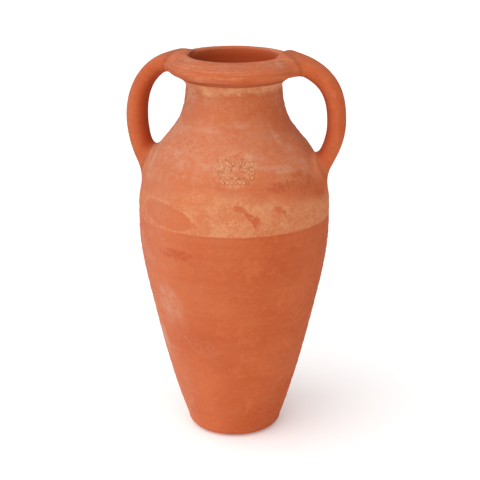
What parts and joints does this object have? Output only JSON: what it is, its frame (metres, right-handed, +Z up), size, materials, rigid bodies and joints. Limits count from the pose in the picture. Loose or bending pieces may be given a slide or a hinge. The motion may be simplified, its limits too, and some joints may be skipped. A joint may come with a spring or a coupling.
{
  "type": "amphora",
  "caption": "Terracotta garden amphora: slim tapering jar with a broad shoulder, short neck, heavy flared lip and loop handles from lip to shoulder.",
  "frame": {"origin": "middle of the foot's underside, on the ground", "axes": "+Z up along the jar's axis; X through the two handles, the right one at +X seen from the stamped side; -Y towards the stamped face of the shoulder"},
  "size_m": [0.312, 0.2706, 0.5561],
  "materials": {
    "lower_clay": "unglazed terracotta, plain orange, faint throwing marks",
    "shoulder_clay": "unglazed terracotta under a pale lime bloom",
    "neck_clay": "unglazed terracotta with a dusty pink bloom",
    "handle_clay": "unglazed terracotta, smoothed by hand",
    "inner_clay": "unglazed terracotta, damp and darker inside"
  },
  "bodies": {
    "root": {"foot_dish": "lower_clay", "foot_seam_coil": "inner_clay", "lower_wall": "lower_clay", "belly_seam_coil": "inner_clay", "shoulder": "shoulder_clay", "neck": "neck_clay", "lip_ring": "neck_clay", "handle_left": "handle_clay", "handle_left_top_collar": "handle_clay", "handle_left_foot_collar": "handle_clay", "handle_right": "handle_clay", "handle_right_top_collar": "handle_clay", "handle_right_foot_collar": "handle_clay"}
  },
  "joints": []
}
